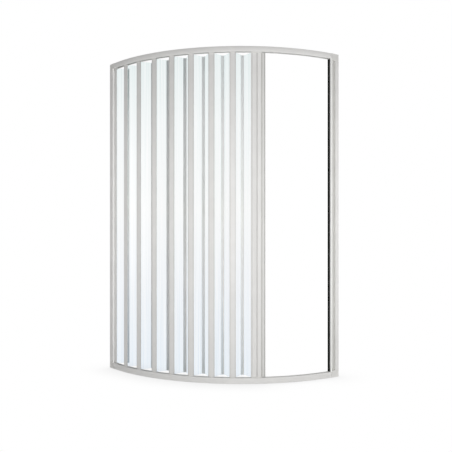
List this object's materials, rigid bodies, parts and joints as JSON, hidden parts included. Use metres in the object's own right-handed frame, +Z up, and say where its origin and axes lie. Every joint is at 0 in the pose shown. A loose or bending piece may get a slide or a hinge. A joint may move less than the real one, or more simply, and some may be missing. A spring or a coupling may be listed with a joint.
{
  "type": "shower enclosure",
  "caption": "Quarter-round corner shower enclosure: a concertina wall of clear pleated panels slides between curved rails and shuts on a magnetic jamb.",
  "frame": {"origin": "under the middle of the square that holds the two rails; the room corner is at (-R/2, +R/2), R being the rails' outer radius", "axes": "+Z up; the left wall profile lies on the plane x = -R/2 and faces -X, the right one on y = +R/2 and faces +Y; the curve bulges towards +X and -Y"},
  "size_m": [0.975, 0.975, 1.85],
  "materials": {
    "rail_plastic": "satin extruded, light grey-white",
    "profile_plastic": "satin extruded, off-white",
    "inner_profile_plastic": "satin extruded, off-white",
    "moulded_plastic": "fine moulded grain",
    "clear_panel": "clear, faintly green-blue",
    "black_magnet": "matt black magnetic strip",
    "soft_seal": "soft satin gasket",
    "runner_nylon": "smooth",
    "steel_screw": "zinc plated"
  },
  "bodies": {
    "frame": {"top_rail": "rail_plastic", "bottom_rail": "rail_plastic", "left_wall_profile": "profile_plastic", "right_wall_profile": "profile_plastic", "left_jamb": "profile_plastic", "strike_jamb": "profile_plastic", "strike_magnet": "black_magnet", "corner_top_left": "moulded_plastic", "corner_top_right": "moulded_plastic", "corner_bottom_left": "moulded_plastic", "corner_bottom_right": "moulded_plastic", "corner_screws": "steel_screw", "jamb_screws": "steel_screw"},
    "strip_1": {"outer_strip_1": "profile_plastic", "runners_1": "runner_nylon"},
    "strip_2": {"outer_strip_2": "profile_plastic", "runners_2": "runner_nylon"},
    "strip_3": {"outer_strip_3": "profile_plastic", "runners_3": "runner_nylon"},
    "strip_4": {"outer_strip_4": "profile_plastic", "runners_4": "runner_nylon"},
    "strip_5": {"outer_strip_5": "profile_plastic", "runners_5": "runner_nylon"},
    "strip_6": {"outer_strip_6": "profile_plastic", "runners_6": "runner_nylon"},
    "strip_7": {"outer_strip_7": "profile_plastic", "runners_7": "runner_nylon"},
    "stile": {"leading_stile": "profile_plastic", "stile_caps": "moulded_plastic", "stile_seal": "soft_seal", "stile_magnet": "black_magnet", "runners_8": "runner_nylon"},
    "panel_a_1": {"panel_a_1": "clear_panel"},
    "panel_b_1": {"panel_b_1": "clear_panel"},
    "inner_strip_1": {"inner_strip_1": "inner_profile_plastic"},
    "panel_a_2": {"panel_a_2": "clear_panel"},
    "panel_b_2": {"panel_b_2": "clear_panel"},
    "inner_strip_2": {"inner_strip_2": "inner_profile_plastic"},
    "panel_a_3": {"panel_a_3": "clear_panel"},
    "panel_b_3": {"panel_b_3": "clear_panel"},
    "inner_strip_3": {"inner_strip_3": "inner_profile_plastic"},
    "panel_a_4": {"panel_a_4": "clear_panel"},
    "panel_b_4": {"panel_b_4": "clear_panel"},
    "inner_strip_4": {"inner_strip_4": "inner_profile_plastic"},
    "panel_a_5": {"panel_a_5": "clear_panel"},
    "panel_b_5": {"panel_b_5": "clear_panel"},
    "inner_strip_5": {"inner_strip_5": "inner_profile_plastic"},
    "panel_a_6": {"panel_a_6": "clear_panel"},
    "panel_b_6": {"panel_b_6": "clear_panel"},
    "inner_strip_6": {"inner_strip_6": "inner_profile_plastic"},
    "panel_a_7": {"panel_a_7": "clear_panel"},
    "panel_b_7": {"panel_b_7": "clear_panel"},
    "inner_strip_7": {"inner_strip_7": "inner_profile_plastic"},
    "panel_a_8": {"panel_a_8": "clear_panel"},
    "panel_b_8": {"panel_b_8": "clear_panel"},
    "inner_strip_8": {"inner_strip_8": "inner_profile_plastic"}
  },
  "joints": [
    {"name": "stile_travel", "type": "hinge", "parent": "frame", "child": "stile", "pos_m": [-0.4875, 0.4875, 0.925], "axis": [0, 0, 1], "range_deg": [-36, 23.8]},
    {"name": "strip_1_travel", "type": "hinge", "parent": "frame", "child": "strip_1", "pos_m": [-0.4875, 0.4875, 0.925], "axis": [0, 0, 1], "range_deg": [-4.55, 3.02]},
    {"name": "strip_2_travel", "type": "hinge", "parent": "frame", "child": "strip_2", "pos_m": [-0.4875, 0.4875, 0.925], "axis": [0, 0, 1], "range_deg": [-9.05, 6]},
    {"name": "strip_3_travel", "type": "hinge", "parent": "frame", "child": "strip_3", "pos_m": [-0.4875, 0.4875, 0.925], "axis": [0, 0, 1], "range_deg": [-13.55, 8.97]},
    {"name": "strip_4_travel", "type": "hinge", "parent": "frame", "child": "strip_4", "pos_m": [-0.4875, 0.4875, 0.925], "axis": [0, 0, 1], "range_deg": [-18.05, 11.95]},
    {"name": "strip_5_travel", "type": "hinge", "parent": "frame", "child": "strip_5", "pos_m": [-0.4875, 0.4875, 0.925], "axis": [0, 0, 1], "range_deg": [-22.55, 14.93]},
    {"name": "strip_6_travel", "type": "hinge", "parent": "frame", "child": "strip_6", "pos_m": [-0.4875, 0.4875, 0.925], "axis": [0, 0, 1], "range_deg": [-27.05, 17.9]},
    {"name": "strip_7_travel", "type": "hinge", "parent": "frame", "child": "strip_7", "pos_m": [-0.4875, 0.4875, 0.925], "axis": [0, 0, 1], "range_deg": [-31.55, 20.88]},
    {"name": "panel_a_1_fold", "type": "hinge", "parent": "frame", "child": "panel_a_1", "pos_m": [-0.42862, -0.4678, 0.925], "axis": [0, 0, 1], "range_deg": [-23.85, 36.05]},
    {"name": "panel_b_1_fold", "type": "hinge", "parent": "strip_1", "child": "panel_b_1", "pos_m": [-0.34136, -0.45839, 0.925], "axis": [0, 0, 1], "range_deg": [-36.05, 23.85]},
    {"name": "inner_strip_1_turn", "type": "hinge", "parent": "panel_b_1", "child": "inner_strip_1", "pos_m": [-0.3884, -0.40815, 0.925], "axis": [0, 0, 1], "range_deg": [-25.34, 38.3]},
    {"name": "panel_a_2_fold", "type": "hinge", "parent": "strip_1", "child": "panel_a_2", "pos_m": [-0.31214, -0.45341, 0.925], "axis": [0, 0, 1], "range_deg": [-23.85, 36.05]},
    {"name": "panel_b_2_fold", "type": "hinge", "parent": "strip_2", "child": "panel_b_2", "pos_m": [-0.22669, -0.43339, 0.925], "axis": [0, 0, 1], "range_deg": [-36.05, 23.85]},
    {"name": "inner_strip_2_turn", "type": "hinge", "parent": "panel_b_2", "child": "inner_strip_2", "pos_m": [-0.27953, -0.38928, 0.925], "axis": [0, 0, 1], "range_deg": [-25.34, 38.3]},
    {"name": "panel_a_3_fold", "type": "hinge", "parent": "strip_2", "child": "panel_a_3", "pos_m": [-0.1983, -0.42488, 0.925], "axis": [0, 0, 1], "range_deg": [-23.85, 36.05]},
    {"name": "panel_b_3_fold", "type": "hinge", "parent": "strip_3", "child": "panel_b_3", "pos_m": [-0.11594, -0.39455, 0.925], "axis": [0, 0, 1], "range_deg": [-36.05, 23.85]},
    {"name": "inner_strip_3_turn", "type": "hinge", "parent": "panel_b_3", "child": "inner_strip_3", "pos_m": [-0.17378, -0.35724, 0.925], "axis": [0, 0, 1], "range_deg": [-25.34, 38.3]},
    {"name": "panel_a_4_fold", "type": "hinge", "parent": "strip_3", "child": "panel_a_4", "pos_m": [-0.08881, -0.38262, 0.925], "axis": [0, 0, 1], "range_deg": [-23.85, 36.05]},
    {"name": "panel_b_4_fold", "type": "hinge", "parent": "strip_4", "child": "panel_b_4", "pos_m": [-0.01078, -0.34245, 0.925], "axis": [0, 0, 1], "range_deg": [-36.05, 23.85]},
    {"name": "inner_strip_4_turn", "type": "hinge", "parent": "panel_b_4", "child": "inner_strip_4", "pos_m": [-0.07275, -0.31249, 0.925], "axis": [0, 0, 1], "range_deg": [-25.34, 38.3]},
    {"name": "panel_a_5_fold", "type": "hinge", "parent": "strip_4", "child": "panel_a_5", "pos_m": [0.01469, -0.32729, 0.925], "axis": [0, 0, 1], "range_deg": [-23.85, 36.05]},
    {"name": "panel_b_5_fold", "type": "hinge", "parent": "strip_5", "child": "panel_b_5", "pos_m": [0.08721, -0.27786, 0.925], "axis": [0, 0, 1], "range_deg": [-36.05, 23.85]},
    {"name": "inner_strip_5_turn", "type": "hinge", "parent": "panel_b_5", "child": "inner_strip_5", "pos_m": [0.02204, -0.25572, 0.925], "axis": [0, 0, 1], "range_deg": [-25.34, 38.3]},
    {"name": "panel_a_6_fold", "type": "hinge", "parent": "strip_5", "child": "panel_a_6", "pos_m": [0.11063, -0.2597, 0.925], "axis": [0, 0, 1], "range_deg": [-23.85, 36.05]},
    {"name": "panel_b_6_fold", "type": "hinge", "parent": "strip_6", "child": "panel_b_6", "pos_m": [0.17656, -0.20177, 0.925], "axis": [0, 0, 1], "range_deg": [-36.05, 23.85]},
    {"name": "inner_strip_6_turn", "type": "hinge", "parent": "panel_b_6", "child": "inner_strip_6", "pos_m": [0.10917, -0.18777, 0.925], "axis": [0, 0, 1], "range_deg": [-25.34, 38.3]},
    {"name": "panel_a_7_fold", "type": "hinge", "parent": "strip_6", "child": "panel_a_7", "pos_m": [0.19758, -0.18088, 0.925], "axis": [0, 0, 1], "range_deg": [-23.85, 36.05]},
    {"name": "panel_b_7_fold", "type": "hinge", "parent": "strip_7", "child": "panel_b_7", "pos_m": [0.25593, -0.11532, 0.925], "axis": [0, 0, 1], "range_deg": [-36.05, 23.85]},
    {"name": "inner_strip_7_turn", "type": "hinge", "parent": "panel_b_7", "child": "inner_strip_7", "pos_m": [0.18733, -0.10967, 0.925], "axis": [0, 0, 1], "range_deg": [-25.34, 38.3]},
    {"name": "panel_a_8_fold", "type": "hinge", "parent": "strip_7", "child": "panel_a_8", "pos_m": [0.27424, -0.09201, 0.925], "axis": [0, 0, 1], "range_deg": [-23.85, 36.05]},
    {"name": "panel_b_8_fold", "type": "hinge", "parent": "stile", "child": "panel_b_8", "pos_m": [0.32412, -0.0198, 0.925], "axis": [0, 0, 1], "range_deg": [-36.05, 23.85]},
    {"name": "inner_strip_8_turn", "type": "hinge", "parent": "panel_b_8", "child": "inner_strip_8", "pos_m": [0.25534, -0.02259, 0.925], "axis": [0, 0, 1], "range_deg": [-25.34, 38.3]}
  ],
  "couplings": [
    {"joint": "strip_1_travel", "follows": "stile_travel", "ratio": 0.125},
    {"joint": "strip_2_travel", "follows": "stile_travel", "ratio": 0.25},
    {"joint": "strip_3_travel", "follows": "stile_travel", "ratio": 0.375},
    {"joint": "strip_4_travel", "follows": "stile_travel", "ratio": 0.5},
    {"joint": "strip_5_travel", "follows": "stile_travel", "ratio": 0.625},
    {"joint": "strip_6_travel", "follows": "stile_travel", "ratio": 0.75},
    {"joint": "strip_7_travel", "follows": "stile_travel", "ratio": 0.875},
    {"joint": "panel_a_1_fold", "follows": "stile_travel", "ratio": -1},
    {"joint": "panel_b_1_fold", "follows": "stile_travel", "ratio": 1},
    {"joint": "inner_strip_1_turn", "follows": "stile_travel", "ratio": -1.0625},
    {"joint": "panel_a_2_fold", "follows": "stile_travel", "ratio": -1},
    {"joint": "panel_b_2_fold", "follows": "stile_travel", "ratio": 1},
    {"joint": "inner_strip_2_turn", "follows": "stile_travel", "ratio": -1.0625},
    {"joint": "panel_a_3_fold", "follows": "stile_travel", "ratio": -1},
    {"joint": "panel_b_3_fold", "follows": "stile_travel", "ratio": 1},
    {"joint": "inner_strip_3_turn", "follows": "stile_travel", "ratio": -1.0625},
    {"joint": "panel_a_4_fold", "follows": "stile_travel", "ratio": -1},
    {"joint": "panel_b_4_fold", "follows": "stile_travel", "ratio": 1},
    {"joint": "inner_strip_4_turn", "follows": "stile_travel", "ratio": -1.0625},
    {"joint": "panel_a_5_fold", "follows": "stile_travel", "ratio": -1},
    {"joint": "panel_b_5_fold", "follows": "stile_travel", "ratio": 1},
    {"joint": "inner_strip_5_turn", "follows": "stile_travel", "ratio": -1.0625},
    {"joint": "panel_a_6_fold", "follows": "stile_travel", "ratio": -1},
    {"joint": "panel_b_6_fold", "follows": "stile_travel", "ratio": 1},
    {"joint": "inner_strip_6_turn", "follows": "stile_travel", "ratio": -1.0625},
    {"joint": "panel_a_7_fold", "follows": "stile_travel", "ratio": -1},
    {"joint": "panel_b_7_fold", "follows": "stile_travel", "ratio": 1},
    {"joint": "inner_strip_7_turn", "follows": "stile_travel", "ratio": -1.0625},
    {"joint": "panel_a_8_fold", "follows": "stile_travel", "ratio": -1},
    {"joint": "panel_b_8_fold", "follows": "stile_travel", "ratio": 1},
    {"joint": "inner_strip_8_turn", "follows": "stile_travel", "ratio": -1.0625}
  ]
}
